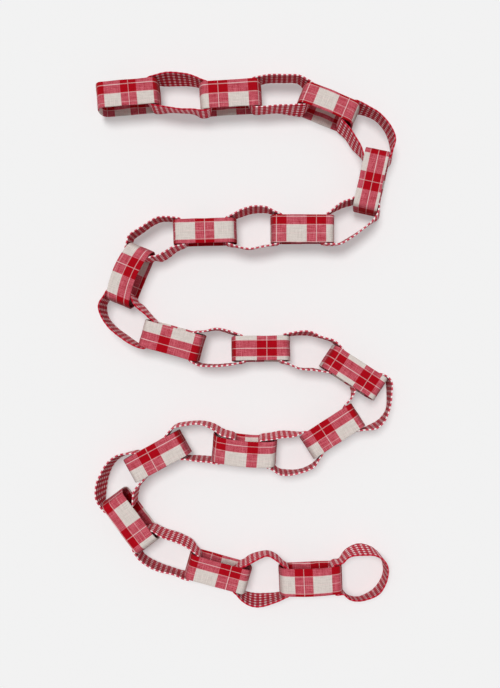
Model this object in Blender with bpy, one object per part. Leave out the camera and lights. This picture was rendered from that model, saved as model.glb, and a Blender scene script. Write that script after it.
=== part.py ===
# Chain garland of 32 cloth loops, laid out flat in an open zigzag.
# Wide flat links of checked cotton alternate with narrow upright links of gingham.
# Each link is one strip, folded double along its length, closed to a loop round its neighbours.
# Units are metres, +Z is up, and the garland lies on z = 0.

import math
from collections import namedtuple

import bmesh
import bpy
from mathutils import Vector

MM = 0.001

# Driving sizes
CHECK_LENGTH = 75.5 * MM      # a check link lying flat, from fold to fold
CHECK_WIDTH = 31.0 * MM       # across a check strip
GINGHAM_WIDTH = 34.0 * MM     # across a gingham strip, which stands on its edge
STRIP_THICKNESS = 2.0 * MM    # a strip folded double and pressed
END_DEPTH = 6.0 * MM          # how far the rounded end of a check link bulges
LAP_LENGTH = 14.0 * MM        # where the two ends of a strip lie on each other
LAP_STEP = 0.5 * MM           # the short slope up to the lap
HEM_TAPER = 1.0 * MM          # how far the rounded long edges of a strip taper
TURN_RADIUS = 5.0 * MM        # the corner that a gingham link makes inside a check link
TURN_CROWN = 2.0 * MM         # how far the hidden end of a gingham link crowns
REST_GAP = 0.3 * MM           # between two strips that rest on each other
SIDE_CLEARANCE = 0.6 * MM     # between a gingham wall and the edge it passes

# Steps along the curves
END_STEPS = 8
CORNER_STEPS = 3
WALL_STEPS = 9
RING_STEPS = 20
CURVE_SAMPLES = 12            # fine points between two given ones, before even spacing

# Plain mean colours of the two cloths
CHECK_COLOUR = (0.50, 0.13, 0.15)
GINGHAM_COLOUR = (0.58, 0.16, 0.19)

# Sizes that follow from the driving ones
HALF_THICKNESS = STRIP_THICKNESS / 2
GINGHAM_LOW = STRIP_THICKNESS + REST_GAP
GINGHAM_HIGH = GINGHAM_LOW + GINGHAM_WIDTH
CHECK_HEIGHT = GINGHAM_HIGH + REST_GAP + STRIP_THICKNESS

# The check links in the order of the chain, as the garland was laid down.
# Heading in degrees; the rest in millimetres: what the length and the width differ from the
# usual size, how far the top leans to the left, and how far the low and the high panel bow to
# the left at their middle.
CHECK_LINKS = (
    (5.0, 1.5, 0.0, 0.0, 0.0, 0.0),
    (3.5, 0.0, 1.5, -1.5, 0.0, 0.0),
    (-22.5, -1.5, -4.5, 4.5, 0.0, 1.5),
    (-102.5, 2.5, -1.5, -7.0, 0.0, 0.0),
    (180.0, 2.5, 2.5, 3.0, 0.0, 0.0),
    (-178.5, 2.0, -1.5, 1.0, 0.0, 0.0),
    (-113.0, 0.0, -1.5, 0.0, 0.0, -6.0),
    (-15.5, 1.0, 1.5, -2.0, 0.0, 0.0),
    (0.5, -4.0, -1.5, 3.0, 0.0, 0.0),
    (-33.0, 3.0, 0.0, 1.0, 0.0, 0.0),
    (-147.0, 0.0, 1.5, -6.0, 0.0, 0.0),
    (175.0, 3.0, 0.0, 4.0, 3.0, 3.0),
    (-151.5, 1.5, 0.5, -1.5, 0.0, 0.0),
    (-53.5, 0.5, -0.5, -1.0, 0.0, 0.0),
    (-15.5, 2.5, -1.0, 1.5, 0.0, 0.0),
    (2.5, 1.5, 2.5, 5.0, 0.0, -2.5),
)

# The gingham links between them. Reach and bearing go from the end of one check link to the next.
# Each wall gives how much deeper it starts in the first link and ends in the second, then points:
# the share of the way between its two corners in percent, and how far out of that straight way
# its low and its high edge stand, in millimetres.
GINGHAM_LINKS = (
    {"reach": 48.5, "bearing": -6.0,
     "left": (3, 0, ((28, 1.5, 6.5), (50, 2.5, 7), (75, 3, 5.5))),
     "right": (0, 0, ((25, -3, 1), (50, -3.5, 2), (75, -3, 0.5)))},
    {"reach": 45.5, "bearing": -5.5,
     "left": (0, 0, ((22, 6, 4), (50, 9.5, 5.5), (80, 11.5, 6))),
     "right": (1, 0, ((50, -3, -0.5),))},
    {"reach": 49, "bearing": -48,
     "left": (0, 0, ((18, 12, 8.5), (35, 18.5, 15), (60, 18, 18.5), (82, 11.5, 15.5))),
     "right": (5, 4, ((25, -1, -2), (55, 1, -2), (80, 0, -2)))},
    {"reach": 44.5, "bearing": -157,
     "left": (1, 4, ((20, 6, 9), (50, 8, 11), (80, 7.5, 10.5))),
     "right": (4, 1, ((30, 2, 3), (60, 2, 3)))},
    {"reach": 41, "bearing": -175,
     "left": (0, 2, ((25, 0.5, 3), (60, 4, 6), (80, 1.5, 4))),
     "right": (3, 2, ((22, 5.5, 8), (50, 6, 10.5), (78, 3, 6.5)))},
    {"reach": 40.5, "bearing": -153.5,
     "left": (4, 0, ((25, 0.5, -1.5), (55, 4, 0.5), (85, 5, 2))),
     "right": (0, 0, ((16, 7, 7.5), (32, 12.5, 12), (65, 11.5, 10.5), (88, 9.5, 9)))},
    {"reach": 43, "bearing": -49,
     "left": (4, 1.5, ((30, 2, -2), (65, 1, -0.5))),
     "right": (0, 0, ((10, 13.5, 16), (28, 19.5, 20.5), (50, 17.5, 19), (75, 10, 12.5),
                      (90, 5.5, 6.5)))},
    {"reach": 35, "bearing": -5.5,
     "left": (5, 3, ((20, 1.5, 2), (45, 5, 6), (80, 2.5, 3.5))),
     "right": (1, 6, ((15, 4, 5), (45, 4, 5.5), (75, 1.5, 4)))},
    {"reach": 44, "bearing": -8.5,
     "left": (0, 2, ((20, 5, 6.5), (42, 8, 10), (62, 8, 7), (86, 6, 6))),
     "right": (2, 5, ((20, 0, 2), (40, 2, 4), (70, -1, 1.5)))},
    {"reach": 40, "bearing": -127.5,
     "left": (1, 2, ((5, 10, 12), (25, 17, 17), (50, 23, 22), (72, 18.5, 21.5), (88, 8.5, 16))),
     "right": (20, 0, ((50, -4, -1.5),))},
    {"reach": 38, "bearing": 178.5,
     "left": (3, 0, ((18, 9, 11), (42, 14, 13.5), (68, 13.5, 13), (86, 9.5, 9.5))),
     "right": (0, 12, ((22, 1.5, -3), (50, 3, -1.5), (80, 1, -1)))},
    {"reach": 33, "bearing": 175,
     "left": (0, 4, ((25, 0, -1), (65, -0.5, 0.5))),
     "right": (16, 8, ((15, 3.5, 2), (30, 10.5, 9.5), (50, 14, 15), (80, 12, 11.5), (92, 9, 8)))},
    {"reach": 35, "bearing": -126,
     "left": (4, 14, ((50, -3.5, -4.5),)),
     "right": (8, 0, ((10, 8, 13), (28, 16.5, 21), (50, 17.5, 22.5), (72, 13.5, 21),
                      (90, 8.5, 13)))},
    {"reach": 50, "bearing": -26.5,
     "left": (5, 0, ((22, 1, -1), (50, 4.5, 1.5), (82, 5.5, 2))),
     "right": (0, 0, ((18, 7.5, 6), (42, 8, 7), (78, 4, 1.5)))},
    {"reach": 37, "bearing": -3,
     "left": (4, 0, ((15, 6.5, 4), (40, 11, 10.5), (60, 12.5, 13.5), (82, 8.5, 7))),
     "right": (5, 0, ((15, 5.5, 8.5), (38, 7, 14), (62, 6, 11.5), (85, 3.5, 5.5)))},
)

# The free ring at the end of the chain, round from its left wall to its right wall, measured from
# the end of the last check link: ahead and to the left, for its low and for its high edge.
RING_POINTS = (
    (8, 30, 8, 30.5),
    (24, 36.5, 24, 32),
    (41, 31, 42, 29.5),
    (53, 16, 54, 17),
    (53.5, -3, 52, -1),
    (42, -20, 41.5, -16),
    (24, -29.5, 22, -22.5),
    (8, -27, 7, -20.5),
)
RING_REACH = 55.0 * MM

CheckLink = namedtuple("CheckLink", "centre ahead left half_length half_width lean bows")


def direction(degrees):
    angle = math.radians(degrees)
    return Vector((math.cos(angle), math.sin(angle), 0.0))


def lay_check_links():
    """Walk along the chain and put each check link down at the end of the opening before it."""
    links = []
    rear = Vector((0.0, 0.0, 0.0))
    for number, (heading, longer, wider, lean, *bows) in enumerate(CHECK_LINKS):
        if number:
            opening = GINGHAM_LINKS[number - 1]
            rear += direction(opening["bearing"]) * opening["reach"] * MM
        ahead = direction(heading)
        half_length = (CHECK_LENGTH + longer * MM) / 2
        links.append(CheckLink(rear + ahead * half_length, ahead, direction(heading + 90),
                               half_length, (CHECK_WIDTH + wider * MM) / 2, lean * MM,
                               [bow * MM for bow in bows]))
        rear += ahead * half_length * 2
    return links


def spot(link, ahead, left, height):
    """A point along and across a check link, moved over by the lean and the bow at its height."""
    share = height / CHECK_HEIGHT
    low_bow, high_bow = link.bows
    swell = max(0.0, 1 - (ahead / link.half_length) ** 2)
    aside = link.lean * share + (low_bow + (high_bow - low_bow) * share) * swell
    flat = link.centre + link.ahead * ahead + link.left * (left + aside)
    return Vector((flat.x, flat.y, height))


def smooth_through(points, count):
    """Evenly spaced points, both ends included, on one smooth curve through the given ones."""
    before = points[0] * 2 - points[1]
    after = points[-1] * 2 - points[-2]
    padded = [before] + list(points) + [after]
    fine = []
    for a, b, c, d in zip(padded, padded[1:], padded[2:], padded[3:]):
        start = (c - a) * ((c - b).length / ((c - b).length + (b - a).length))
        stop = (d - b) * ((c - b).length / ((d - c).length + (c - b).length))
        for step in range(CURVE_SAMPLES):
            t = step / CURVE_SAMPLES
            fine.append(b * (2 * t**3 - 3 * t**2 + 1) + start * (t**3 - 2 * t**2 + t)
                        + c * (3 * t**2 - 2 * t**3) + stop * (t**3 - t**2))
    fine.append(points[-1].copy())
    reached = [0.0]
    for a, b in zip(fine, fine[1:]):
        reached.append(reached[-1] + (b - a).length)
    spaced = []
    place = 0
    for number in range(count + 1):
        wanted = reached[-1] * number / count
        while place < len(fine) - 2 and reached[place + 1] < wanted:
            place += 1
        share = (wanted - reached[place]) / (reached[place + 1] - reached[place])
        spaced.append(fine[place].lerp(fine[place + 1], min(share, 1.0)))
    return spaced


def check_section_path(link):
    """The middle of a check strip round its loop: distance ahead, height, and the lap's layers."""
    flat = link.half_length - HALF_THICKNESS - END_DEPTH
    middle = CHECK_HEIGHT / 2
    rise = middle - HALF_THICKNESS
    low, high = HALF_THICKNESS, CHECK_HEIGHT - HALF_THICKNESS
    lap = LAP_LENGTH / 2
    path = [(-flat, low, 0), (-lap - LAP_STEP, low, 0), (-lap, low, 1),
            (lap, low, 1), (lap + LAP_STEP, low, 0), (flat, low, 0)]
    turn = [math.radians(180 * step / END_STEPS - 90) for step in range(1, END_STEPS)]
    path += [(flat + END_DEPTH * math.cos(a), middle + rise * math.sin(a), 0) for a in turn]
    path += [(flat, high, 0), (0.0, high, 0), (-flat, high, 0)]
    path += [(-flat - END_DEPTH * math.cos(a), middle - rise * math.sin(a), 0) for a in turn]
    return path


def check_stations(link):
    """Left edge, right edge and extra layers outside and inside, at each station of a check link."""
    stations = []
    for ahead, height, lap in check_section_path(link):
        left = spot(link, ahead, link.half_width, height)
        right = spot(link, ahead, -link.half_width, height)
        stations.append((left, right, 0, lap))
    return stations


def side_distance(link):
    """How far from a check link's middle line the middle of a gingham wall passes it."""
    return link.half_width + SIDE_CLEARANCE + HALF_THICKNESS


def turn_inside(link, end, depths, height, lapped):
    """A gingham edge from the left to the right side of a check link, inside its end.

    end is 1 at the link's front and -1 at its rear. Each point comes with its extra layers.
    """
    side = side_distance(link)
    back = [link.half_length - HALF_THICKNESS - END_DEPTH - depth * MM for depth in depths]
    corners = [Vector((end * (back[0] - TURN_RADIUS), side)),
               Vector((end * (back[1] - TURN_RADIUS), -side))]
    across = (corners[1] - corners[0]).normalized()
    turns = []
    for corner, start, heading in ((corners[0], back[0], across), (corners[1], back[1], -across)):
        first = Vector((end * start, corner.y))
        last = corner + heading * TURN_RADIUS
        steps = [step / CORNER_STEPS for step in range(CORNER_STEPS + 1)]
        turns.append([first * (1 - t) ** 2 + corner * 2 * t * (1 - t) + last * t**2 for t in steps])
    middle = (turns[0][-1] + turns[1][-1]) / 2 - Vector((end * TURN_CROWN, 0.0))
    route = [(point, 0) for point in turns[0]]
    if lapped:
        lap = across * (LAP_LENGTH / 2)
        step = across * LAP_STEP
        route += [(middle - lap - step, 0), (middle - lap, 1), (middle + lap, 1),
                  (middle + lap + step, 0)]
    else:
        route.append((middle, 0))
    route += [(point, 0) for point in reversed(turns[1])]
    return [(spot(link, point.x, point.y, height), layers) for point, layers in route]


def past_tip(link, end, side, inside, outside, height):
    """Where a wall passes the tip of a check link: on its way, but no nearer than side_distance."""
    tip = spot(link, end * link.half_length, side * side_distance(link), height)
    ahead = link.ahead * end
    run_in = (tip - inside).dot(ahead)
    run_on = (outside - tip).dot(ahead)
    if run_on <= 0:
        return []
    abreast = inside.lerp(outside, run_in / (run_in + run_on))
    return [tip + link.left * max(0.0, (abreast - tip).dot(link.left) * side) * side]


def wall_edge(first, second, side, wall, height, high):
    """A gingham edge between its corner in the first check link and its corner in the second one.

    side is 1 for the left wall and -1 for the right one.
    """
    start_depth, end_depth, points = wall
    leave = HALF_THICKNESS + END_DEPTH + start_depth * MM
    enter = HALF_THICKNESS + END_DEPTH + end_depth * MM
    start = spot(first, first.half_length - leave, side * side_distance(first), height)
    stop = spot(second, enter - second.half_length, side * side_distance(second), height)
    way = stop - start
    outward = Vector((-way.y, way.x, 0.0)).normalized() * side
    route = []
    for share, low_out, high_out in points:
        out = (high_out if high else low_out) * MM
        route.append(start + way * share / 100 + outward * out)
    lead_in = past_tip(first, 1, side, start, route[0], height)
    lead_out = past_tip(second, -1, side, stop, route[-1], height)
    route = (lead_in or [start]) + route + (lead_out or [stop])
    steps = WALL_STEPS + 1 - len(lead_in) - len(lead_out)
    curve = smooth_through(route, steps)
    return curve[1 - len(lead_in):len(curve) - 1 + len(lead_out)]


def gingham_edge(first, second, opening, high):
    """One edge of a gingham link, seen from above counterclockwise, with its extra layers."""
    height = GINGHAM_HIGH if high else GINGHAM_LOW
    left, right = opening["left"], opening["right"]
    edge = turn_inside(first, 1, (left[0], right[0]), height, True)
    down = wall_edge(first, second, -1, right, height, high)
    edge += [(point, 0) for point in down]
    edge += reversed(turn_inside(second, -1, (left[1], right[1]), height, False))
    back = wall_edge(first, second, 1, left, height, high)
    edge += [(point, 0) for point in reversed(back)]
    return edge


def ring_edge(last, high):
    """One edge of the free ring, whose far side comes down to the floor."""
    height = GINGHAM_HIGH if high else GINGHAM_LOW
    edge = turn_inside(last, 1, (0, 0), height, True)
    side = side_distance(last)
    route = [spot(last, last.half_length, side, height)]
    for low_ahead, low_left, high_ahead, high_left in RING_POINTS:
        ahead, left = (high_ahead, high_left) if high else (low_ahead, low_left)
        place = last.centre + last.ahead * (last.half_length + ahead * MM) + last.left * left * MM
        sunk = GINGHAM_LOW * min(1.0, ahead * MM / RING_REACH)
        route.append(Vector((place.x, place.y, height - sunk)))
    route.append(spot(last, last.half_length, -side, height))
    edge += [(point, 0) for point in reversed(smooth_through(route, RING_STEPS))]
    return edge


def gingham_stations(low_edge, high_edge):
    return [(low, high, layers, 0) for (low, layers), (high, _) in zip(low_edge, high_edge)]


def strip_mesh(name, stations):
    """Loft a closed strip: a flat section with tapered edges at each station, bridged all round."""
    mesh = bpy.data.meshes.new(name)
    shape = bmesh.new()
    middles = [(one + other) / 2 for one, other, _, _ in stations]
    count = len(stations)
    rings = []
    for number, (one, other, outer_layers, inner_layers) in enumerate(stations):
        before, after = middles[number - 1], middles[(number + 1) % count]
        here = middles[number]
        run = (here - before).normalized() + (after - here).normalized()
        across = (other - one).normalized()
        out = run.cross(across).normalized()
        outer = out * (HALF_THICKNESS + outer_layers * STRIP_THICKNESS)
        inner = out * (HALF_THICKNESS + inner_layers * STRIP_THICKNESS)
        taper = across * HEM_TAPER
        corners = (one, one + taper + outer, other - taper + outer,
                   other, other - taper - inner, one + taper - inner)
        verts = [shape.verts.new(corner) for corner in corners]
        rings.append([shape.edges.new(pair) for pair in zip(verts, verts[1:] + verts[:1])])
    for number in range(count):
        bmesh.ops.bridge_loops(shape, edges=rings[number - 1] + rings[number])
    bmesh.ops.triangulate(shape, faces=shape.faces)
    bmesh.ops.recalc_face_normals(shape, faces=shape.faces)
    shape.to_mesh(mesh)
    shape.free()
    return mesh


def cloth_material(name, colour, roughness):
    material = bpy.data.materials.new(name)
    material.use_nodes = True
    shader = material.node_tree.nodes["Principled BSDF"]
    shader.inputs["Base Color"].default_value = (*colour, 1.0)
    shader.inputs["Roughness"].default_value = roughness
    shader.inputs["Metallic"].default_value = 0.0
    material.diffuse_color = (*colour, 1.0)
    return material


def add_link(collection, name, stations, colour):
    mesh = strip_mesh(name, stations)
    mesh.materials.append(cloth_material(name + "_cotton", colour, 0.9))
    mesh.shade_smooth()
    mesh.set_sharp_from_angle(angle=math.radians(40))
    link = bpy.data.objects.new(name, mesh)
    collection.objects.link(link)
    return link


def set_origin_under_middle(links):
    """Move the whole garland so that the origin is on the floor under its middle."""
    points = [vertex.co for link in links for vertex in link.data.vertices]
    low_x, high_x = min(p.x for p in points), max(p.x for p in points)
    low_y, high_y = min(p.y for p in points), max(p.y for p in points)
    shift = Vector((-(low_x + high_x) / 2, -(low_y + high_y) / 2, 0.0))
    for link in links:
        for vertex in link.data.vertices:
            vertex.co += shift


def main():
    for thing in list(bpy.data.objects):
        bpy.data.objects.remove(thing, do_unlink=True)
    garland = bpy.data.collections.new("chain_garland")
    bpy.context.scene.collection.children.link(garland)

    check_links = lay_check_links()
    built = []
    for number, link in enumerate(check_links, 1):
        name = "check_link_%02d" % number
        built.append(add_link(garland, name, check_stations(link), CHECK_COLOUR))
    pairs = zip(check_links, check_links[1:], GINGHAM_LINKS)
    for number, (first, second, opening) in enumerate(pairs, 1):
        edges = [gingham_edge(first, second, opening, high) for high in (False, True)]
        name = "gingham_link_%02d" % number
        built.append(add_link(garland, name, gingham_stations(*edges), GINGHAM_COLOUR))
    ring = gingham_stations(*[ring_edge(check_links[-1], high) for high in (False, True)])
    built.append(add_link(garland, "gingham_link_%02d" % len(check_links), ring, GINGHAM_COLOUR))
    set_origin_under_middle(built)


main()
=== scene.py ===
# The looks of a chain garland made of 32 loops of woven cotton, laid out flat in a zigzag.
# Flat links in a large red and ecru check alternate with upright links in a small gingham.
# Units are metres, +Z is up.

import math

import bmesh
import bpy
import numpy as np
from mathutils import Matrix, Vector, noise


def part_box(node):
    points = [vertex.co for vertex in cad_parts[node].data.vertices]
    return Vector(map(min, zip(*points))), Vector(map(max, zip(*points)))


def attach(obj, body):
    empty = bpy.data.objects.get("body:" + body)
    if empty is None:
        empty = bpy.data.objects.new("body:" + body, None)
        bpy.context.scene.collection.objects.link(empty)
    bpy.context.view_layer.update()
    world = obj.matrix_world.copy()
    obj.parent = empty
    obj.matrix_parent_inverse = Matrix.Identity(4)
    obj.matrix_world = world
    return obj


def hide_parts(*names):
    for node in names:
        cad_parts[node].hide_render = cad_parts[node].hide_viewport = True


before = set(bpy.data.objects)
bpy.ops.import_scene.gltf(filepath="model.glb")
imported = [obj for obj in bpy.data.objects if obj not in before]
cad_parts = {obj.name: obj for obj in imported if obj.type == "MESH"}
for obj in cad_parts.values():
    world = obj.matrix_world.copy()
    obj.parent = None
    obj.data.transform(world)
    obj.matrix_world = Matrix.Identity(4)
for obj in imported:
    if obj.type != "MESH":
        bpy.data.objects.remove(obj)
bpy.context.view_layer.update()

MM = 0.001

# Sizes of the strips and the loops, as the solids have them
CHECK_LENGTH = 75.5 * MM
CHECK_WIDTH = 31.0 * MM
GINGHAM_WIDTH = 34.0 * MM
STRIP_THICKNESS = 2.0 * MM
END_DEPTH = 6.0 * MM
LAP_LENGTH = 14.0 * MM
LAP_STEP = 0.5 * MM           # over which the lap's extra layer begins
TURN_RADIUS = 5.0 * MM
TURN_CROWN = 2.0 * MM
REST_GAP = 0.3 * MM
SIDE_CLEARANCE = 0.6 * MM
END_STEPS = 8
CORNER_STEPS = 3
WALL_STEPS = 12
RING_STEPS = 24
CURVE_SAMPLES = 12
HALF_THICKNESS = STRIP_THICKNESS / 2
GINGHAM_LOW = STRIP_THICKNESS + REST_GAP
GINGHAM_HIGH = GINGHAM_LOW + GINGHAM_WIDTH
CHECK_HEIGHT = GINGHAM_HIGH + REST_GAP + STRIP_THICKNESS

# The fine cloth surface
STATIONS = 200                # steps along a strip
FLAT_STEPS = 14               # across its outer face
FOLD_STEPS = 6                # round each folded edge
HALF_FLAT_STEPS = 7           # across each half of its inner face
FOLD_RADIUS = 1.0 * MM
SMOOTHING_PASSES = 8          # how far the corners of a loop are rounded
SOFT_WAVE = 0.45 * MM         # how far the cloth waves
SOFT_WAVE_LENGTH = 17.0 * MM
CRINKLE = 0.16 * MM
CRINKLE_LENGTH = 5.0 * MM
EDGE_WAVE = 0.35 * MM         # how far the folded edges wander
EDGE_ZONE = 0.6               # where that begins, of the way out from the middle of the strip
WAVE_STEPS = (3.7, 1.3)       # how far apart the links lie in the field that makes the waves
WANDER_STEP = 2.1             # and in the one that makes the edges wander
MERGE_WITHIN = 0.001 * MM

# How much cloth a folded edge takes up, of the round outside of the fold, and how far the edge
# swells at each dark check.
PRESSED_FOLD = {"takes": 0.35, "swells": 0.0}
SOFT_FOLD = {"takes": 1.0, "swells": 0.20 * MM}

# The small gingham
GINGHAM_PITCH = 6.35 * MM     # one dark and one light check
GINGHAM_RED = 0.58            # the share of it that is red
HIGH_EDGE_ROW = 1.70 * MM     # puts a pale row on the folded edge that shows
ROW_DRIFT = 0.5 * MM          # how far that differs between links
RED_EDGED = (1, 3, 7, 15, 16)  # the gingham links whose folded edge is a red row instead

# The large check
CHECK_PITCH_ALONG = 49.0 * MM
NARROW_PITCH_ALONG = 90.0 * MM
RED_ALONG = 24.0 * MM
NARROW_RED_ALONG = 13.0 * MM
CHECK_PITCH_ACROSS = 40.0 * MM
RED_ACROSS = 19.5 * MM
WHITE_LINE = 0.8 * MM
LINE_SHOWS = 1.05             # how strongly the white line stands out on ecru
LINE_LESS_ON_RED = 0.28       # and how much less on each red
RIM_SHOWS = 0.45
FAINT_LINE_SHOWS = 0.7        # the line in the middle of the ecru, of the rim's strength

# The yarn and the finish of both cottons
YARN = 0.45 * MM
TOP_BOW, UNDER_BOW = 0.6, 0.4  # how much a yarn's rise comes from its own bow and from the other's
EDGE_SOFTNESS = 0.35 * MM     # how sharply one dyed band ends
CHECK_SLUBS = (70.0, 1000.0)  # how often yarns vary along and across themselves, per metre
GINGHAM_SLUBS = (90.0, 1500.0)
PALE_BY_WEAVE = 0.5           # how much the pale yarns show in heathered red where they are on top
PALE_BY_YARN = 1.7            # and how much that varies from yarn to yarn
PALE_LESS = 0.6
DYE_CONTRAST = (2.2, -0.6)    # scale and shift of the noise that makes yarns dark or light
DARK_YARN = (0.80, 0.78, 0.78, 1.0)
LIGHT_YARN = (1.10, 1.12, 1.12, 1.0)
YARN_RELIEF = 1.5
BUMP_DEPTH = 0.12 * MM
BUMP_STRENGTH = 0.55
CLOTH_ROUGHNESS = 0.88
CLOTH_SPECULAR = 0.1
CLOTH_SHEEN = 0.05
SHEEN_ROUGHNESS = 0.5

# The check links in the order of the chain, as in the solids: heading in degrees, then what the
# length and the width differ, the lean to the left, and the bow of the low and the high panel.
CHECK_LINKS = (
    (5.0, 1.5, 0.0, 0.0, 0.0, 0.0),
    (3.5, 0.0, 1.5, -1.5, 0.0, 0.0),
    (-22.5, -1.5, -4.5, 4.5, 0.0, 1.5),
    (-102.5, 2.5, -1.5, -7.0, 0.0, 0.0),
    (180.0, 2.5, 2.5, 3.0, 0.0, 0.0),
    (-178.5, 2.0, -1.5, 1.0, 0.0, 0.0),
    (-113.0, 0.0, -1.5, 0.0, 0.0, -6.0),
    (-15.5, 1.0, 1.5, -2.0, 0.0, 0.0),
    (0.5, -4.0, -1.5, 3.0, 0.0, 0.0),
    (-33.0, 3.0, 0.0, 1.0, 0.0, 0.0),
    (-147.0, 0.0, 1.5, -6.0, 0.0, 0.0),
    (175.0, 3.0, 0.0, 4.0, 3.0, 3.0),
    (-151.5, 1.5, 0.5, -1.5, 0.0, 0.0),
    (-53.5, 0.5, -0.5, -1.0, 0.0, 0.0),
    (-15.5, 2.5, -1.0, 1.5, 0.0, 0.0),
    (2.5, 1.5, 2.5, 5.0, 0.0, -2.5),
)

# How each check strip was cut from the cloth, in millimetres from the middle of its top panel.
# Ahead is where a red band across the strip has its middle, and left where a red row along it does.
# Pitch is how far apart the red bands are. Narrow says the same of a strip that has a slim red band
# between the wide ones. Under and under_left are ahead and left on the lower panel, where that is
# in sight, and rows is how far apart the red rows are, where that isn't the usual distance.
CHECK_CUTS = (
    {"ahead": 2.5, "left": 10.3, "pitch": 39, "under": 7.8, "rows": 43},
    {"ahead": -14.5, "left": 11.8, "pitch": 47.8, "under": 17.4, "rows": 45},
    {"ahead": 20.4, "left": 20, "pitch": 50.4, "under": 24.7, "under_left": 10},
    {"ahead": 4, "left": 1.5, "pitch": 44},
    {"ahead": -15.7, "left": -14.3, "pitch": 47.5},
    {"ahead": -0.6, "left": 20, "pitch": 46.7},
    {"ahead": -9, "left": 8.2, "pitch": 50},
    {"ahead": 38.5, "left": -6.5, "narrow": 92.6},
    {"ahead": 7, "left": -0.3, "pitch": 49},
    {"ahead": -28.7, "left": 0, "pitch": 46},
    {"ahead": 10, "left": -9.1, "pitch": 51},
    {"ahead": 34.5, "left": -9.5, "narrow": 88.4, "under": 12, "rows": 34},
    {"ahead": 5.6, "left": -9.6, "pitch": 50.6},
    {"ahead": 14.5, "left": -14.3, "pitch": 51},
    {"ahead": 13.5, "left": 9, "pitch": 53, "under": -12, "rows": 32},
    {"ahead": -9, "left": 17.3, "pitch": 44.5, "under": 13},
)

# The gingham links, as in the solids: reach and bearing from one check link's end to the next, in
# millimetres and degrees. Each wall has how far it is tucked into the two check links, and points
# between them: per cent of the way, and how far out its low and its high edge stand there.
GINGHAM_LINKS = (
    {"reach": 48.5, "bearing": -6.0,
     "left": (3, 0, ((28, 1.5, 6.5), (50, 2.5, 7), (75, 3, 5.5))),
     "right": (0, 0, ((25, -3, 1), (50, -3.5, 2), (75, -3, 0.5)))},
    {"reach": 45.5, "bearing": -5.5,
     "left": (0, 0, ((22, 6, 4), (50, 9.5, 5.5), (80, 11.5, 6))),
     "right": (1, 0, ((50, -3, -0.5),))},
    {"reach": 49, "bearing": -48,
     "left": (0, 0, ((18, 12, 8.5), (35, 18.5, 15), (60, 18, 18.5), (82, 11.5, 15.5))),
     "right": (5, 4, ((25, -1, -2), (55, 1, -2), (80, 0, -2)))},
    {"reach": 44.5, "bearing": -157,
     "left": (1, 4, ((20, 6, 9), (50, 8, 11), (80, 7.5, 10.5))),
     "right": (4, 1, ((30, 2, 3), (60, 2, 3)))},
    {"reach": 41, "bearing": -175,
     "left": (0, 2, ((25, 0.5, 3), (60, 4, 6), (80, 1.5, 4))),
     "right": (3, 2, ((22, 5.5, 8), (50, 6, 10.5), (78, 3, 6.5)))},
    {"reach": 40.5, "bearing": -153.5,
     "left": (4, 0, ((25, 0.5, -1.5), (55, 4, 0.5), (85, 5, 2))),
     "right": (0, 0, ((16, 7, 7.5), (32, 12.5, 12), (65, 11.5, 10.5), (88, 9.5, 9)))},
    {"reach": 43, "bearing": -49,
     "left": (4, 1.5, ((30, 2, -2), (65, 1, -0.5))),
     "right": (0, 0, ((10, 13.5, 16), (28, 19.5, 20.5), (50, 17.5, 19), (75, 10, 12.5),
                      (90, 5.5, 6.5)))},
    {"reach": 35, "bearing": -5.5,
     "left": (5, 3, ((20, 1.5, 2), (45, 5, 6), (80, 2.5, 3.5))),
     "right": (1, 6, ((15, 4, 5), (45, 4, 5.5), (75, 1.5, 4)))},
    {"reach": 44, "bearing": -8.5,
     "left": (0, 2, ((20, 5, 6.5), (42, 8, 10), (62, 8, 7), (86, 6, 6))),
     "right": (2, 5, ((20, 0, 2), (40, 2, 4), (70, -1, 1.5)))},
    {"reach": 40, "bearing": -127.5,
     "left": (1, 2, ((5, 10, 12), (25, 17, 17), (50, 23, 22), (72, 18.5, 21.5), (88, 8.5, 16))),
     "right": (20, 0, ((50, -4, -1.5),))},
    {"reach": 38, "bearing": 178.5,
     "left": (3, 0, ((18, 9, 11), (42, 14, 13.5), (68, 13.5, 13), (86, 9.5, 9.5))),
     "right": (0, 12, ((22, 1.5, -3), (50, 3, -1.5), (80, 1, -1)))},
    {"reach": 33, "bearing": 175,
     "left": (0, 4, ((25, 0, -1), (65, -0.5, 0.5))),
     "right": (16, 8, ((15, 3.5, 2), (30, 10.5, 9.5), (50, 14, 15), (80, 12, 11.5), (92, 9, 8)))},
    {"reach": 35, "bearing": -126,
     "left": (4, 14, ((50, -3.5, -4.5),)),
     "right": (8, 0, ((10, 8, 13), (28, 16.5, 21), (50, 17.5, 22.5), (72, 13.5, 21),
                      (90, 8.5, 13)))},
    {"reach": 50, "bearing": -26.5,
     "left": (5, 0, ((22, 1, -1), (50, 4.5, 1.5), (82, 5.5, 2))),
     "right": (0, 0, ((18, 7.5, 6), (42, 8, 7), (78, 4, 1.5)))},
    {"reach": 37, "bearing": -3,
     "left": (4, 0, ((15, 6.5, 4), (40, 11, 10.5), (60, 12.5, 13.5), (82, 8.5, 7))),
     "right": (5, 0, ((15, 5.5, 8.5), (38, 7, 14), (62, 6, 11.5), (85, 3.5, 5.5)))},
)

# The free ring: millimetres ahead and to the left of the last check link's end, for its low edge
# and then for its high one.
RING_POINTS = (
    (8, 30, 8, 30.5),
    (24, 36.5, 24, 32),
    (41, 31, 42, 29.5),
    (53, 16, 54, 17),
    (53.5, -3, 52, -1),
    (42, -20, 41.5, -16),
    (24, -29.5, 22, -22.5),
    (8, -27, 7, -20.5),
)
RING_REACH = 55.0 * MM

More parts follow.
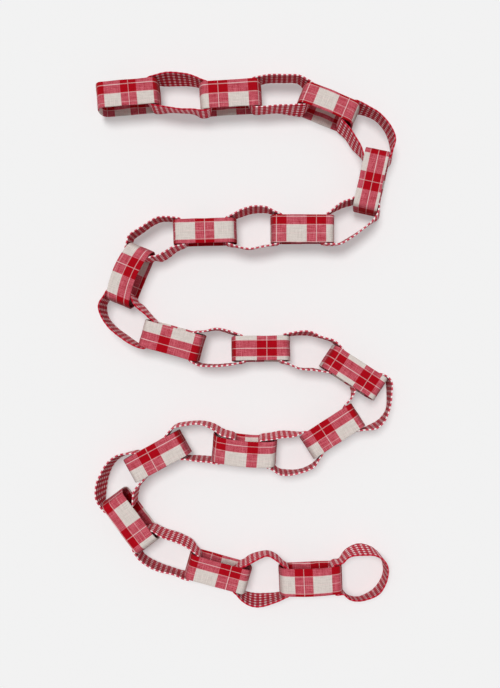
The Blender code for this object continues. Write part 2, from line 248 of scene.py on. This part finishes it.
# The camera stands straight above the middle of the layout, this far from the first check link.
CAMERA_FROM_FIRST_LINK = (147.8 * MM, -301.2 * MM)
CAMERA_HEIGHT = 0.90
CAMERA_LENS = 37.7            # millimetres, as is the next
SENSOR_WIDTH = 36.0
FLOOR_SIZE = 16.0
FLOOR_SHADE = 0.89
FLOOR_GLOW = 0.29             # the part of it that no shadow reaches, as on a lit table
ROOM_LIGHT = 0.32
WINDOW_LIGHT = 2.22
WINDOW_SOFTNESS = 22          # degrees across
WINDOW_FROM = (-0.15, 0.25, 0.955)  # the way to the light


# Laying the chain out

class CheckLink:
    """Where one check link lies and how it leans."""

    def __init__(self, rear, heading, longer, wider, lean, low_bow, high_bow):
        self.ahead = direction(heading)
        self.left = direction(heading + 90)
        self.half_length = (CHECK_LENGTH + longer * MM) / 2
        self.half_width = (CHECK_WIDTH + wider * MM) / 2
        self.centre = rear + self.ahead * self.half_length
        self.lean = lean * MM
        self.low_bow = low_bow * MM
        self.high_bow = high_bow * MM

    def side_distance(self):
        return self.half_width + SIDE_CLEARANCE + HALF_THICKNESS

    def spot(self, ahead, left, height):
        share = height / CHECK_HEIGHT
        swell = max(0.0, 1 - (ahead / self.half_length) ** 2)
        aside = self.lean * share
        aside += (self.low_bow + (self.high_bow - self.low_bow) * share) * swell
        flat = self.centre + self.ahead * ahead + self.left * (left + aside)
        return Vector((flat.x, flat.y, height))


def direction(degrees):
    angle = math.radians(degrees)
    return Vector((math.cos(angle), math.sin(angle), 0.0))


def lay_check_links():
    links = []
    rear = Vector((0.0, 0.0, 0.0))
    for number, numbers in enumerate(CHECK_LINKS):
        if number:
            opening = GINGHAM_LINKS[number - 1]
            rear = rear + direction(opening["bearing"]) * opening["reach"] * MM
        links.append(CheckLink(rear, *numbers))
        rear = rear + links[-1].ahead * links[-1].half_length * 2
    return links


def smooth_through(points, count):
    """Evenly spaced points, both ends included, on one smooth curve through the given ones."""
    before = points[0] * 2 - points[1]
    after = points[-1] * 2 - points[-2]
    padded = [before] + list(points) + [after]
    fine = []
    for a, b, c, d in zip(padded, padded[1:], padded[2:], padded[3:]):
        start = (c - a) * ((c - b).length / ((c - b).length + (b - a).length))
        stop = (d - b) * ((c - b).length / ((d - c).length + (c - b).length))
        for step in range(CURVE_SAMPLES):
            t = step / CURVE_SAMPLES
            fine.append(b * (2 * t**3 - 3 * t**2 + 1) + start * (t**3 - 2 * t**2 + t)
                        + c * (3 * t**2 - 2 * t**3) + stop * (t**3 - t**2))
    fine.append(points[-1].copy())
    lengths = [(b - a).length for a, b in zip(fine, fine[1:])]
    reached = np.concatenate(([0.0], np.cumsum(lengths)))
    wanted = np.linspace(0.0, reached[-1], count + 1)
    columns = [np.interp(wanted, reached, [point[axis] for point in fine]) for axis in range(3)]
    return [Vector(spot) for spot in zip(*columns)]


def check_stations(link):
    """Left edge, right edge and layers of the lap, round a check link from its lap."""
    flat = link.half_length - HALF_THICKNESS - END_DEPTH
    middle = CHECK_HEIGHT / 2
    rise = middle - HALF_THICKNESS
    low, high = HALF_THICKNESS, CHECK_HEIGHT - HALF_THICKNESS
    lap = LAP_LENGTH / 2
    turn = [math.radians(180 * step / END_STEPS - 90) for step in range(1, END_STEPS)]
    near = flat - END_DEPTH / 2
    path = [(0.0, low, 1), (lap, low, 1), (lap + LAP_STEP, low, 0), (near, low, 0), (flat, low, 0)]
    path += [(flat + END_DEPTH * math.cos(a), middle + rise * math.sin(a), 0) for a in turn]
    path += [(flat, high, 0), (near, high, 0), (flat / 2, high, 0), (0.0, high, 0),
             (-flat / 2, high, 0), (-near, high, 0), (-flat, high, 0)]
    path += [(-flat - END_DEPTH * math.cos(a), middle - rise * math.sin(a), 0) for a in turn]
    path += [(-flat, low, 0), (-near, low, 0), (-lap - LAP_STEP, low, 0), (-lap, low, 1)]
    stations = []
    for ahead, height, lap_layers in path:
        left = link.spot(ahead, link.half_width, height)
        right = link.spot(ahead, -link.half_width, height)
        stations.append((*left, *right, 0, lap_layers))
    return stations


def turn_inside(link, end, depths, height, lapped):
    """One edge of a gingham link across the inside of a check link, from left to right.

    end is 1 at the check link's front and -1 at its rear.
    """
    side = link.side_distance()
    back = [link.half_length - HALF_THICKNESS - END_DEPTH - depth * MM for depth in depths]
    corners = [Vector((end * (back[0] - TURN_RADIUS), side)),
               Vector((end * (back[1] - TURN_RADIUS), -side))]
    across = (corners[1] - corners[0]).normalized()
    turns = []
    for corner, start, heading in ((corners[0], back[0], across), (corners[1], back[1], -across)):
        first = Vector((end * start, corner.y))
        last = corner + heading * TURN_RADIUS
        steps = [step / CORNER_STEPS for step in range(CORNER_STEPS + 1)]
        turns.append([first * (1 - t) ** 2 + corner * 2 * t * (1 - t) + last * t**2 for t in steps])
    middle = (turns[0][-1] + turns[1][-1]) / 2 - Vector((end * TURN_CROWN, 0.0))
    route = [(point, 0) for point in turns[0]]
    if lapped:
        lap = across * (LAP_LENGTH / 2)
        step = across * LAP_STEP
        route += [(middle - lap - step, 0), (middle - lap, 1), (middle + lap, 1),
                  (middle + lap + step, 0)]
    else:
        route.append((middle, 0))
    route += [(point, 0) for point in reversed(turns[1])]
    return [(link.spot(point.x, point.y, height), layers) for point, layers in route]


def past_tip(link, end, side, inside, outside, height):
    """The point beside a check link's tip that keeps a wall clear of it, where it passes one."""
    tip = link.spot(end * link.half_length, side * link.side_distance(), height)
    ahead = link.ahead * end
    run_in = (tip - inside).dot(ahead)
    run_on = (outside - tip).dot(ahead)
    if run_on <= 0:
        return []
    abreast = inside.lerp(outside, run_in / (run_in + run_on))
    return [tip + link.left * max(0.0, (abreast - tip).dot(link.left) * side) * side]


def wall_edge(first, second, side, wall, height, high):
    """One edge of the gingham wall between two check links, along one side."""
    start_depth, end_depth, points = wall
    leave = HALF_THICKNESS + END_DEPTH + start_depth * MM
    enter = HALF_THICKNESS + END_DEPTH + end_depth * MM
    start = first.spot(first.half_length - leave, side * first.side_distance(), height)
    stop = second.spot(enter - second.half_length, side * second.side_distance(), height)
    way = stop - start
    outward = Vector((-way.y, way.x, 0.0)).normalized() * side
    route = []
    for share, low_out, high_out in points:
        out = (high_out if high else low_out) * MM
        route.append(start + way * share / 100 + outward * out)
    lead_in = past_tip(first, 1, side, start, route[0], height)
    lead_out = past_tip(second, -1, side, stop, route[-1], height)
    route = (lead_in or [start]) + route + (lead_out or [stop])
    curve = smooth_through(route, WALL_STEPS + 1 - len(lead_in) - len(lead_out))
    return curve[1 - len(lead_in):len(curve) - 1 + len(lead_out)]


def gingham_edge(first, second, opening, high):
    """The low or the high edge all round a gingham link, with the layers of its lap."""
    height = GINGHAM_HIGH if high else GINGHAM_LOW
    left, right = opening["left"], opening["right"]
    edge = turn_inside(first, 1, (left[0], right[0]), height, True)
    edge += [(point, 0) for point in wall_edge(first, second, -1, right, height, high)]
    edge += reversed(turn_inside(second, -1, (left[1], right[1]), height, False))
    back = wall_edge(first, second, 1, left, height, high)
    edge += [(point, 0) for point in reversed(back)]
    return edge


def ring_edge(last, high):
    """The same for the free ring, which sinks to the floor as it leaves the last check link."""
    height = GINGHAM_HIGH if high else GINGHAM_LOW
    edge = turn_inside(last, 1, (0, 0), height, True)
    side = last.side_distance()
    route = [last.spot(last.half_length, side, height)]
    for low_ahead, low_left, high_ahead, high_left in RING_POINTS:
        ahead, left = (high_ahead, high_left) if high else (low_ahead, low_left)
        place = last.centre + last.ahead * (last.half_length + ahead * MM) + last.left * left * MM
        sunk = GINGHAM_LOW * min(1.0, ahead * MM / RING_REACH)
        route.append(Vector((place.x, place.y, height - sunk)))
    route.append(last.spot(last.half_length, -side, height))
    edge += [(point, 0) for point in reversed(smooth_through(route, RING_STEPS))]
    return edge


def gingham_stations(low_edge, high_edge):
    """The same eight numbers a station, round a gingham link from the middle of its lap."""
    stations = [(*low, *high, layers, 0) for (low, layers), (high, _) in zip(low_edge, high_edge)]
    start = next(number for number, station in enumerate(stations) if station[6])
    return stations[start:] + stations[:start]


# Making the cloth

def closed_curve(stations, count):
    """Evenly spaced stations on a smooth closed curve through the given ones, and their lengths."""
    given = np.array(stations)
    ring = np.vstack((given[-1:], given, given[:2]))
    middles = (ring[:, 0:3] + ring[:, 3:6]) / 2
    steps = np.linalg.norm(np.diff(middles, axis=0), axis=1)[:, None]
    slopes = np.diff(ring, axis=0) / steps
    tangents = (slopes[:-1] * steps[:-1] + slopes[1:] * steps[1:]) / (steps[1:] + steps[:-1])
    knots = np.concatenate(([0.0], np.cumsum(steps[1:-1, 0])))
    wanted = np.linspace(0.0, knots[-1], count + 1)
    place = np.clip(np.searchsorted(knots, wanted, side="right") - 1, 0, len(given) - 1)
    span = (knots[place + 1] - knots[place])[:, None]
    t = (wanted - knots[place])[:, None] / span
    start, stop = ring[1 + place], ring[2 + place]
    curve = (start * (2 * t**3 - 3 * t**2 + 1) + tangents[place] * span * (t**3 - 2 * t**2 + t)
             + stop * (3 * t**2 - 2 * t**3) + tangents[place + 1] * span * (t**3 - t**2))
    curve[:, 6:] = np.clip(curve[:, 6:], 0.0, 1.0)
    for _ in range(SMOOTHING_PASSES):
        loop = curve[:-1]
        loop = (np.roll(loop, 1, axis=0) + loop * 2 + np.roll(loop, -1, axis=0)) / 4
        curve = np.vstack((loop, loop[:1]))
    middles = (curve[:, 0:3] + curve[:, 3:6]) / 2
    reached = np.concatenate(([0.0], np.cumsum(np.linalg.norm(np.diff(middles, axis=0), axis=1))))
    return curve, reached


def section_distances(flat, fold):
    """Distances round a strip's section from the middle of its outer face, both ways."""
    half = list(np.linspace(0.0, flat, FLAT_STEPS // 2 + 1))
    half += list(np.linspace(flat, flat + fold, FOLD_STEPS + 1))[1:]
    half += list(np.linspace(flat + fold, flat * 2 + fold, HALF_FLAT_STEPS + 1))[1:]
    return [-distance for distance in reversed(half[1:])] + half


def cloth_distance(distance, flat, fold, fold_takes):
    """The cloth's own distance here. A fold takes up less of it than its round outside."""
    side = math.copysign(1.0, distance)
    past_edge = abs(distance) - flat
    if past_edge <= 0:
        return distance
    taken = min(past_edge, fold) * fold_takes + max(0.0, past_edge - fold)
    return side * (flat + taken)


def section_spot(distance, flat, fold):
    """How far to the left, and how far out from -1 to 1, a distance round the section lies."""
    side = math.copysign(1.0, distance)
    round_it = abs(distance)
    if round_it <= flat:
        return distance, 1.0
    if round_it <= flat + fold:
        angle = math.pi * (round_it - flat) / fold
        return side * (flat + FOLD_RADIUS * math.sin(angle)), math.cos(angle)
    return side * (flat * 2 + fold - round_it), -1.0


def cloth_wave(place, seed):
    """How far the cloth stands off its plain form here."""
    broad = noise.noise(place / SOFT_WAVE_LENGTH + seed)
    fine = noise.noise(place / CRINKLE_LENGTH - seed)
    return broad * SOFT_WAVE + fine * CRINKLE


def station_frames(curve):
    """Left and right edge, the ways across and out, and the layers of the lap at each station."""
    frames = []
    for here in range(STATIONS):
        left, right = Vector(curve[here][0:3]), Vector(curve[here][3:6])
        run = Vector(curve[here + 1][0:3]) - Vector(curve[here - 1][0:3])
        run += Vector(curve[here + 1][3:6]) - Vector(curve[here - 1][3:6])
        across = (right - left).normalized()
        out = run.normalized().cross(across).normalized()
        frames.append((left, right, across, out, curve[here][6], curve[here][7]))
    return frames + frames[:1]


def strip_mesh(name, stations, width, number, edge_fold, pattern):
    """A closed folded strip, and its length. Its UV map is in metres along and across the strip.

    pattern turns a length along the strip and a distance across it into that map.
    """
    curve, reached = closed_curve(stations, STATIONS)
    frames = station_frames(curve)
    flat = width / 2 - FOLD_RADIUS
    fold = math.pi * FOLD_RADIUS
    distances = section_distances(flat, fold)
    rows = len(distances) - 1
    seed = Vector((number * WAVE_STEPS[0], number * WAVE_STEPS[1], 0.0))
    shape = bmesh.new()
    bmesh.ops.create_grid(shape, x_segments=STATIONS, y_segments=rows, size=0.5)
    cells = {}
    for vert in shape.verts:
        cells[vert.index] = (round((vert.co.x + 0.5) * STATIONS), round((vert.co.y + 0.5) * rows))
    uv = shape.loops.layers.uv.new("cloth")
    for face in shape.faces:
        for loop in face.loops:
            station, row = cells[loop.vert.index]
            aside = cloth_distance(distances[row], flat, fold, edge_fold["takes"])
            loop[uv].uv = pattern(reached[station], aside, reached[-1])
    for vert in shape.verts:
        station, row = cells[vert.index]
        left, right, across, out, outer_lap, inner_lap = frames[station]
        half = (right - left).length / 2
        aside, level = section_spot(distances[row], flat, fold)
        aside *= half / (width / 2)
        middle = (left + right) / 2 - across * aside
        edge = max(0.0, abs(aside) / half - EDGE_ZONE) / (1 - EDGE_ZONE)
        edge = math.copysign(edge, aside)
        length = reached[station % STATIONS]
        place = Vector((length / SOFT_WAVE_LENGTH, edge, number * WANDER_STEP))
        wander = noise.noise(place) * EDGE_WAVE
        wander += math.cos(2 * math.pi * length / GINGHAM_PITCH) * edge_fold["swells"]
        lap = outer_lap if level > 0 else inner_lap
        stand = level * (HALF_THICKNESS + lap * STRIP_THICKNESS) + cloth_wave(middle, seed)
        vert.co = middle - across * edge * wander + out * stand
        vert.co.z = max(0.0, vert.co.z)
    bmesh.ops.remove_doubles(shape, verts=shape.verts, dist=MERGE_WITHIN)
    bmesh.ops.recalc_face_normals(shape, faces=shape.faces)
    mesh = bpy.data.meshes.new(name)
    shape.to_mesh(mesh)
    shape.free()
    mesh.shade_smooth()
    return mesh, reached[-1]


# Shader maths

class Wire:
    """One output of a node. Arithmetic on it adds Math nodes."""

    def __init__(self, nodes, socket):
        self.nodes = nodes
        self.socket = socket

    def math(self, operation, *others, clamp=False):
        settings = {"operation": operation, "use_clamp": clamp}
        return self.nodes.add("ShaderNodeMath", settings, dict(enumerate((self, *others))))

    def __add__(self, other):
        return self.math("ADD", other)

    def __mul__(self, other):
        return self.math("MULTIPLY", other)

    def __sub__(self, other):
        return self.math("SUBTRACT", other)

    def __rsub__(self, other):
        return self.nodes.add("ShaderNodeMath", {"operation": "SUBTRACT"}, {0: other, 1: self})

    __radd__ = __add__
    __rmul__ = __mul__


class Nodes:
    """Adds nodes to one tree."""

    def __init__(self, tree):
        self.tree = tree

    def add(self, kind, settings, values, output=0):
        made = self.tree.nodes.new(kind)
        for key, value in settings.items():
            setattr(made, key, value)
        for key, value in values.items():
            if isinstance(value, Wire):
                self.tree.links.new(value.socket, made.inputs[key])
            else:
                made.inputs[key].default_value = value
        return Wire(self, made.outputs[output])

    def mix(self, share, one, other):
        values = {"Factor": share, 6: one, 7: other}
        return self.add("ShaderNodeMix", {"data_type": "RGBA"}, values, output=2)


class Finish(Nodes):
    """The nodes of one new material."""

    def __init__(self, name, roughness, specular):
        self.material = bpy.data.materials.new(name)
        self.material.use_nodes = True
        super().__init__(self.material.node_tree)
        self.shader = self.tree.nodes["Principled BSDF"]
        self.set("Roughness", roughness)
        self.set("Specular IOR Level", specular)

    def set(self, socket, value):
        self.shader.inputs[socket].default_value = value

    def feed(self, socket, wire):
        self.tree.links.new(wire.socket, self.shader.inputs[socket])


def colour(red, green, blue):
    """A colour given as it looks on a screen, from 0 to 255."""
    linear = []
    for value in (red, green, blue):
        value /= 255
        linear.append(value / 12.92 if value <= 0.04045 else ((value + 0.055) / 1.055) ** 2.4)
    return (*linear, 1.0)


# The two cottons

def cloth_place(cotton):
    """The place on the strip, and its lengths along and across in metres."""
    place = cotton.add("ShaderNodeUVMap", {"uv_map": "cloth"}, {})
    along = cotton.add("ShaderNodeSeparateXYZ", {}, {0: place}, output="X")
    across = cotton.add("ShaderNodeSeparateXYZ", {}, {0: place}, output="Y")
    return place, along, across


def band(distance, width, softness=EDGE_SOFTNESS):
    """1 within half a width of a band's middle and 0 outside."""
    return ((width / 2 - distance) * (1 / softness)).math("ADD", 0.5, clamp=True)


def fine_line(distance):
    return band(distance, WHITE_LINE, WHITE_LINE / 2)


def slubs(cotton, place, along, across):
    """Noise drawn out along one way of the weave."""
    stretched = cotton.add("ShaderNodeMapping", {}, {0: place, 3: (along, across, 1.0)})
    values = {"Vector": stretched, "Scale": 1.0, "Detail": 2.0, "Roughness": 0.6}
    return cotton.add("ShaderNodeTexNoise", {"noise_dimensions": "2D"}, values)


def uneven_yarns(cotton, place, often):
    """Yarns of both ways that vary along their length."""
    return (slubs(cotton, place, *often) + slubs(cotton, place, *reversed(often))) * 0.5


def plain_weave(along, across):
    """1 where a yarn along the strip is on top, 0 where one across it is, and the yarns' height."""
    cell_along = along.math("DIVIDE", YARN)
    cell_across = across.math("DIVIDE", YARN)
    on_top = (cell_along.math("FLOOR") + cell_across.math("FLOOR")).math("PINGPONG", 1.0)
    bow_along = (cell_along.math("FRACT") * math.pi).math("SINE")
    bow_across = (cell_across.math("FRACT") * math.pi).math("SINE")
    height = (bow_across * TOP_BOW + bow_along * UNDER_BOW) * on_top
    height = height + (bow_along * TOP_BOW + bow_across * UNDER_BOW) * (1.0 - on_top)
    return on_top, height


def heather(on_top, uneven):
    """How much of the pale yarn shows where red yarns cross pale ones."""
    return (on_top * PALE_BY_WEAVE + uneven * PALE_BY_YARN).math("SUBTRACT", PALE_LESS, clamp=True)


def dye(cotton, on_top, reds, pale, pink, deep):
    """Pale cloth, heathered where one red band runs and deep red where two cross."""
    pale = cotton.mix(on_top, *pale)
    deep = cotton.mix(on_top, *deep)
    base = cotton.mix(reds.math("MULTIPLY", 1.0, clamp=True), pale, pink)
    return cotton.mix(reds.math("SUBTRACT", 1.0, clamp=True), base, deep)


def finish_cloth(cotton, base, height, uneven):
    """Uneven dye and yarns over a woven colour, and the relief of the weave."""
    share = uneven.math("MULTIPLY_ADD", *DYE_CONTRAST, clamp=True)
    dyed = cotton.mix(share, DARK_YARN, LIGHT_YARN)
    shaded = cotton.add("ShaderNodeVectorMath", {"operation": "MULTIPLY"}, {0: base, 1: dyed})
    cotton.feed("Base Color", shaded)
    cotton.set("Sheen Weight", CLOTH_SHEEN)
    cotton.set("Sheen Roughness", SHEEN_ROUGHNESS)
    values = {"Height": height + uneven * YARN_RELIEF, "Strength": BUMP_STRENGTH,
              "Distance": BUMP_DEPTH}
    cotton.feed("Normal", cotton.add("ShaderNodeBump", {}, values))
    return cotton.material


def check_cotton(name, narrow):
    """Yarn-dyed check: red and ecru both ways, deep red where two reds cross."""
    cotton = Finish(name, CLOTH_ROUGHNESS, CLOTH_SPECULAR)
    place, along, across = cloth_place(cotton)
    on_top, height = plain_weave(along, across)
    uneven = uneven_yarns(cotton, place, CHECK_SLUBS)
    pitch = NARROW_PITCH_ALONG if narrow else CHECK_PITCH_ALONG
    from_red = along.math("PINGPONG", pitch / 2)
    red_along = band(from_red, RED_ALONG)
    if narrow:
        red_along = red_along + band(pitch / 2 - from_red, NARROW_RED_ALONG)
    from_red_across = across.math("PINGPONG", CHECK_PITCH_ACROSS / 2)
    reds = red_along + band(from_red_across, RED_ACROSS)
    pink = cotton.mix(heather(on_top, uneven), colour(172, 22, 46), colour(210, 112, 124))
    base = dye(cotton, on_top, reds, (colour(211, 200, 193), colour(226, 215, 208)), pink,
               (colour(162, 0, 16), colour(180, 0, 24)))
    line = fine_line(from_red).math("MAXIMUM", fine_line(from_red_across))
    line = line * (LINE_SHOWS - reds * LINE_LESS_ON_RED)
    base = cotton.mix(line, base, colour(240, 214, 212))
    rim = fine_line((from_red_across - RED_ACROSS / 2).math("ABSOLUTE"))
    faint = fine_line(CHECK_PITCH_ACROSS / 2 - from_red_across) * FAINT_LINE_SHOWS
    base = cotton.mix(rim.math("MAXIMUM", faint) * RIM_SHOWS, base, colour(238, 208, 206))
    return finish_cloth(cotton, base, height, uneven)


def gingham_cotton():
    """Small red and white gingham."""
    cotton = Finish("gingham_cotton", CLOTH_ROUGHNESS, CLOTH_SPECULAR)
    place, along, across = cloth_place(cotton)
    on_top, height = plain_weave(along, across)
    uneven = uneven_yarns(cotton, place, GINGHAM_SLUBS)
    reds = [band(way.math("PINGPONG", GINGHAM_PITCH / 2), GINGHAM_PITCH * GINGHAM_RED)
            for way in (along, across)]
    pink = cotton.mix(heather(on_top, uneven), colour(190, 24, 52), colour(222, 104, 122))
    base = dye(cotton, on_top, reds[0] + reds[1],
               (colour(246, 232, 231), colour(252, 244, 243)), pink,
               (colour(178, 0, 26), colour(198, 0, 38)))
    return finish_cloth(cotton, base, height, uneven)


# Putting the garland together

def check_pattern(cut, base_pitch):
    """How a check strip's lengths turn into the cloth's, with the cut's bands in their places."""
    pitch = cut.get("pitch", cut.get("narrow")) * MM
    scale = base_pitch / pitch
    scale_across = CHECK_PITCH_ACROSS / (cut.get("rows", CHECK_PITCH_ACROSS / MM) * MM)

    def place(reached, distance, around):
        ahead = around / 2 - reached
        band_middle, row_middle = cut["ahead"] * MM, cut["left"] * MM
        if "under" in cut and abs(ahead) > around / 4:
            ahead = math.copysign(around / 2, ahead) - ahead
            band_middle = cut["under"] * MM
            row_middle = cut.get("under_left", cut["left"]) * MM
        return ((ahead - band_middle) * scale, (distance - row_middle) * scale_across)

    return place


def gingham_pattern(number):
    """The same for a gingham strip, with whole checks round the loop."""
    shift = HIGH_EDGE_ROW + (number % 3 - 1) * ROW_DRIFT
    if number in RED_EDGED:
        shift += GINGHAM_PITCH / 2

    def place(reached, distance, around):
        repeats = max(1, round(around / GINGHAM_PITCH))
        return (reached * repeats * GINGHAM_PITCH / around, distance + shift)

    return place


def middle_of(box):
    """The middle of a box, seen from above."""
    return [(box[0][axis] + box[1][axis]) / 2 for axis in range(2)]


def add_strip(node, material, strip, shift):
    name = node + "_cloth"
    mesh, around = strip_mesh(name, **strip)
    mesh.materials.append(material)
    mesh.transform(Matrix.Translation(shift))
    piece = bpy.data.objects.new(name, mesh)
    bpy.context.scene.collection.objects.link(piece)
    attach(piece, "root")
    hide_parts(node)


def make_garland(first_box):
    usual_cloth = check_cotton("check_cotton", False)
    narrow_cloth = check_cotton("check_cotton_with_narrow_red", True)
    gingham_cloth = gingham_cotton()
    links = lay_check_links()
    shift = Vector((*middle_of(first_box), 0.0)) - links[0].centre
    for number, (link, cut) in enumerate(zip(links, CHECK_CUTS), 1):
        narrow = "narrow" in cut
        pitch = NARROW_PITCH_ALONG if narrow else CHECK_PITCH_ALONG
        strip = {"stations": check_stations(link), "width": link.half_width * 2,
                 "number": number, "edge_fold": PRESSED_FOLD,
                 "pattern": check_pattern(cut, pitch)}
        cloth = narrow_cloth if narrow else usual_cloth
        add_strip("check_link_%02d" % number, cloth, strip, shift)
    edges = [[gingham_edge(first, second, opening, high) for high in (False, True)]
             for first, second, opening in zip(links, links[1:], GINGHAM_LINKS)]
    edges.append([ring_edge(links[-1], high) for high in (False, True)])
    for number, (low_edge, high_edge) in enumerate(edges, 1):
        strip = {"stations": gingham_stations(low_edge, high_edge), "width": GINGHAM_WIDTH,
                 "number": number + len(links), "edge_fold": SOFT_FOLD,
                 "pattern": gingham_pattern(number)}
        add_strip("gingham_link_%02d" % number, gingham_cloth, strip, shift)


# The stage

def seen_directly(nodes):
    """1 for what the camera, a reflection or a clear thing looks at, and 0 for lighting."""
    camera, glossy, clear = (nodes.add("ShaderNodeLightPath", {}, {}, output="Is %s Ray" % kind)
                             for kind in ("Camera", "Glossy", "Transmission"))
    return camera.math("MAXIMUM", glossy).math("MAXIMUM", clear)


def pale_floor():
    paper = Finish("pale_floor", 1.0, 0.0)
    paper.set("Emission Strength", 1.0)
    seen = seen_directly(paper)
    full, lit, glow = ((shade, shade, shade, 1.0) for shade in
                       (FLOOR_SHADE, FLOOR_SHADE - FLOOR_GLOW, FLOOR_GLOW))
    paper.feed("Base Color", paper.mix(seen, full, lit))
    paper.feed("Emission Color", paper.mix(seen, (0.0, 0.0, 0.0, 1.0), glow))
    shape = bmesh.new()
    bmesh.ops.create_grid(shape, x_segments=1, y_segments=1, size=FLOOR_SIZE / 2)
    mesh = bpy.data.meshes.new("floor")
    shape.to_mesh(mesh)
    shape.free()
    mesh.materials.append(paper.material)
    floor = bpy.data.objects.new("floor", mesh)
    bpy.context.scene.collection.objects.link(floor)


def studio_light():
    world = bpy.data.worlds.new("soft_room")
    world.use_nodes = True
    background = world.node_tree.nodes["Background"]
    background.inputs["Color"].default_value = (1.0, 1.0, 1.0, 1.0)
    strength = seen_directly(Nodes(world.node_tree)) * (FLOOR_SHADE - ROOM_LIGHT) + ROOM_LIGHT
    world.node_tree.links.new(strength.socket, background.inputs["Strength"])
    bpy.context.scene.world = world
    lamp = bpy.data.lights.new("window", "SUN")
    lamp.energy = WINDOW_LIGHT
    lamp.angle = math.radians(WINDOW_SOFTNESS)
    light = bpy.data.objects.new("window", lamp)
    light.rotation_euler = Vector(WINDOW_FROM).to_track_quat("Z", "Y").to_euler()
    bpy.context.scene.collection.objects.link(light)


def camera_above(first_box):
    lens = bpy.data.cameras.new("camera")
    lens.lens = CAMERA_LENS
    lens.sensor_width = SENSOR_WIDTH
    camera = bpy.data.objects.new("camera", lens)
    spot = zip(middle_of(first_box), CAMERA_FROM_FIRST_LINK)
    camera.location = (*(middle + offset for middle, offset in spot), CAMERA_HEIGHT)
    bpy.context.scene.collection.objects.link(camera)
    bpy.context.scene.camera = camera


first_link_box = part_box("check_link_01")
make_garland(first_link_box)
pale_floor()
studio_light()
camera_above(first_link_box)
bpy.context.scene.view_settings.view_transform = "Standard"
